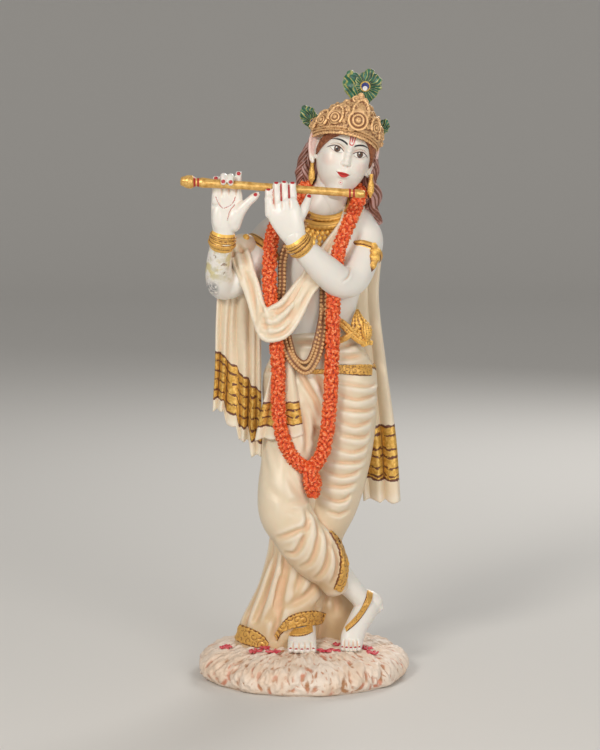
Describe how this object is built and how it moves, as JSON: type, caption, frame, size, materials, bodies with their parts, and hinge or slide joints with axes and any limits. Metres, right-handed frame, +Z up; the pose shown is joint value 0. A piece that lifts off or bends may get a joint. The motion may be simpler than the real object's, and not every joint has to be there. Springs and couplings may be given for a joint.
{
  "type": "standing flute player figurine",
  "caption": "Painted cast figurine of the flute-playing Krishna with a peacock-feather crown, a garland and draped cloth, standing cross-legged on a round grassy mound.",
  "frame": {"origin": "middle of the round mound's flat underside", "axes": "+Z up along the figure's height, -Y the way the figure faces, +X to the figure's left"},
  "size_m": [0.1173, 0.1102, 0.3203],
  "materials": {
    "resin": "cast marble-dust resin, painted by hand, satin",
    "skin": "painted marble-dust resin, satin white",
    "cloth": "painted marble-dust resin, satin ivory with a tan wash in the folds",
    "gold": "antique gold paint with a brown wash",
    "garland": "vermilion paint, satin",
    "hair": "reddish-brown paint, satin",
    "feather": "green paint with gilt barbs",
    "mound": "ivory paint with a tan wash and crimson flowers"
  },
  "bodies": {
    "root": {"krishna_figure": "resin"}
  },
  "joints": []
}
